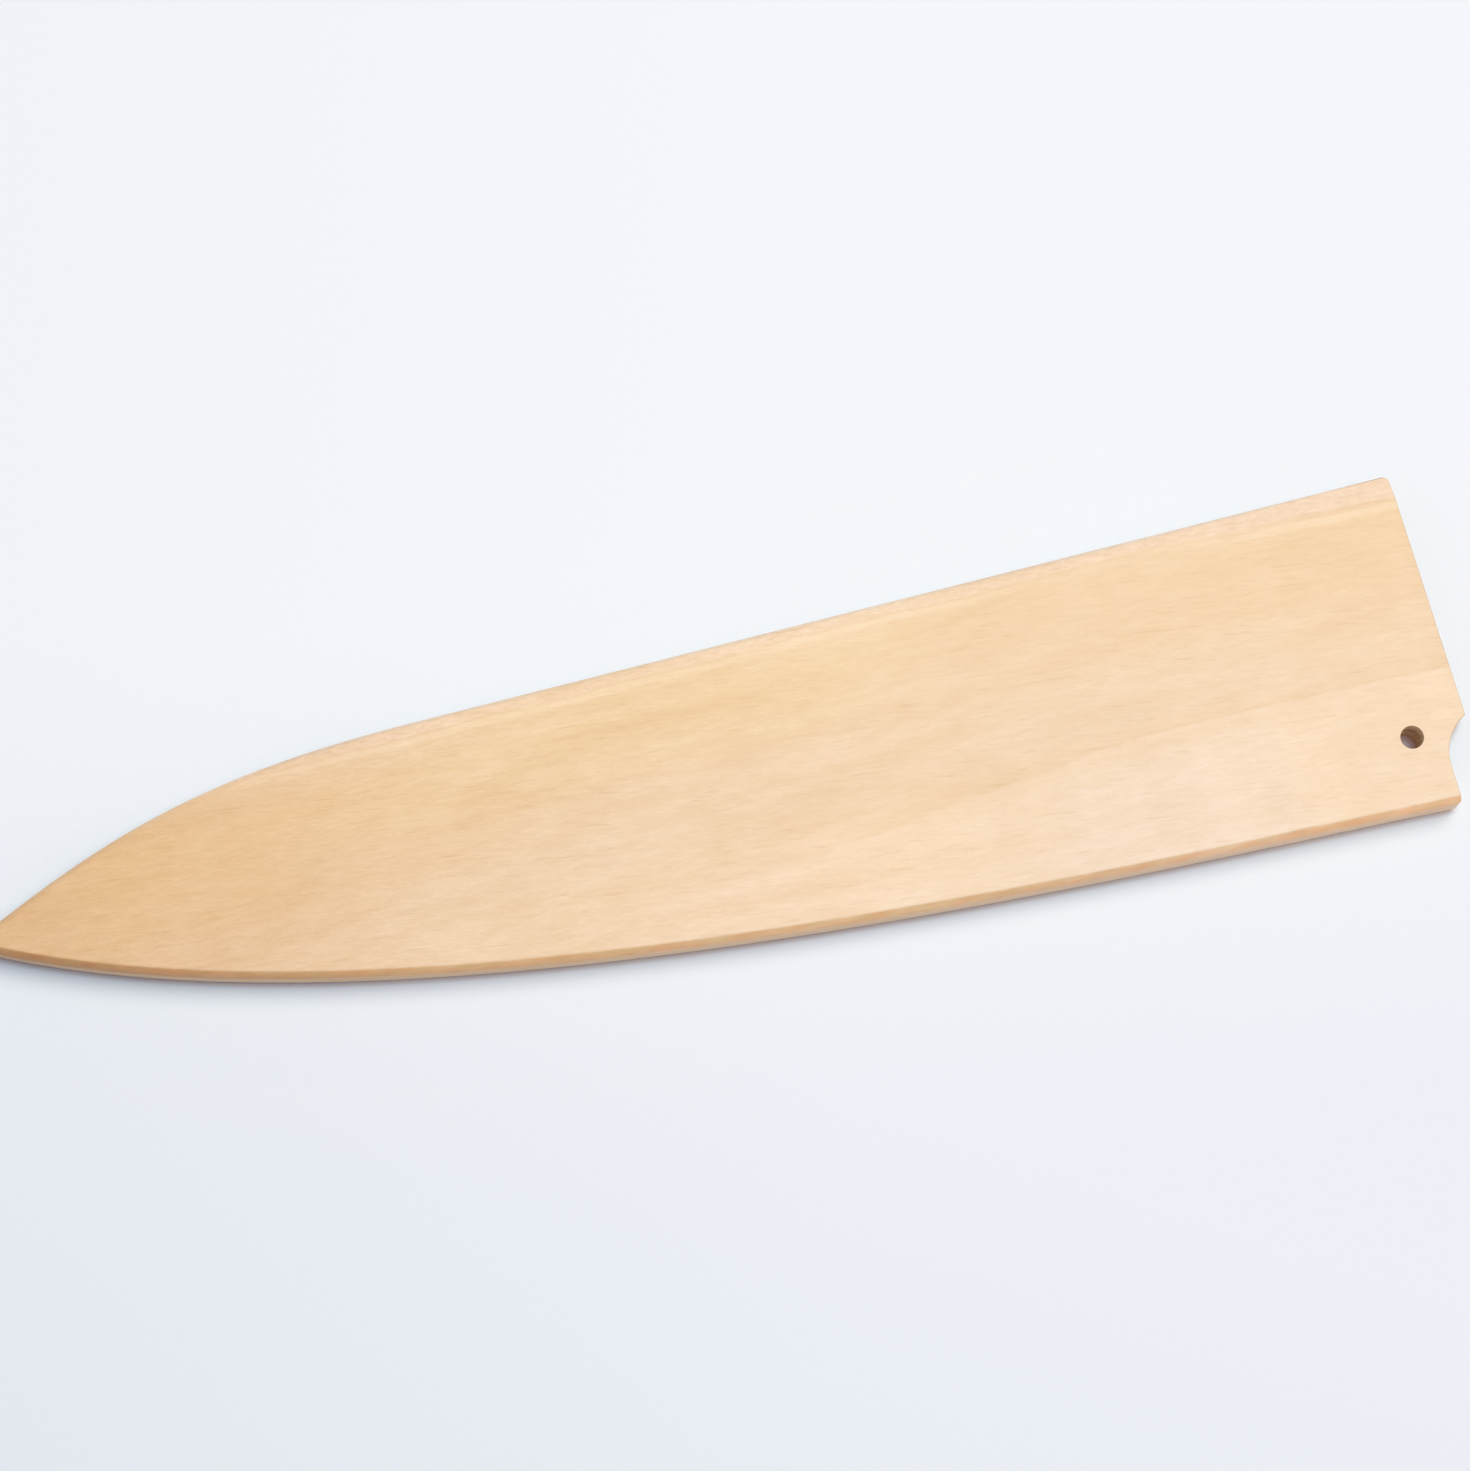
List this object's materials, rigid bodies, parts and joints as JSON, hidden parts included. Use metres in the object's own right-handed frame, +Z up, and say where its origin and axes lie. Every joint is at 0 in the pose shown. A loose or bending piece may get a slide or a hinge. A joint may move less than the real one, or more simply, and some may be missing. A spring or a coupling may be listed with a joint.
{
  "type": "knife blade guard",
  "caption": "Flat wooden slip-on guard for a chef's knife blade: face boards glued over spacers leave a blade pocket, with a cross hole for a locking pin at the heel.",
  "frame": {"origin": "centre of the footprint, on the surface that the back face lies on", "axes": "+X along the sheath from the tip to the mouth, +Y from the cutting-edge side to the spine side, +Z up out of the front face"},
  "size_m": [0.2608, 0.0606, 0.0072],
  "materials": {
    "face_wood": "fine sanded, bare pale hardwood",
    "spacer_wood": "fine sanded, bare pale hardwood, edge grain"
  },
  "bodies": {
    "root": {"front_board": "face_wood", "back_board": "face_wood", "spine_spacer": "spacer_wood", "edge_spacer": "spacer_wood"}
  },
  "joints": []
}
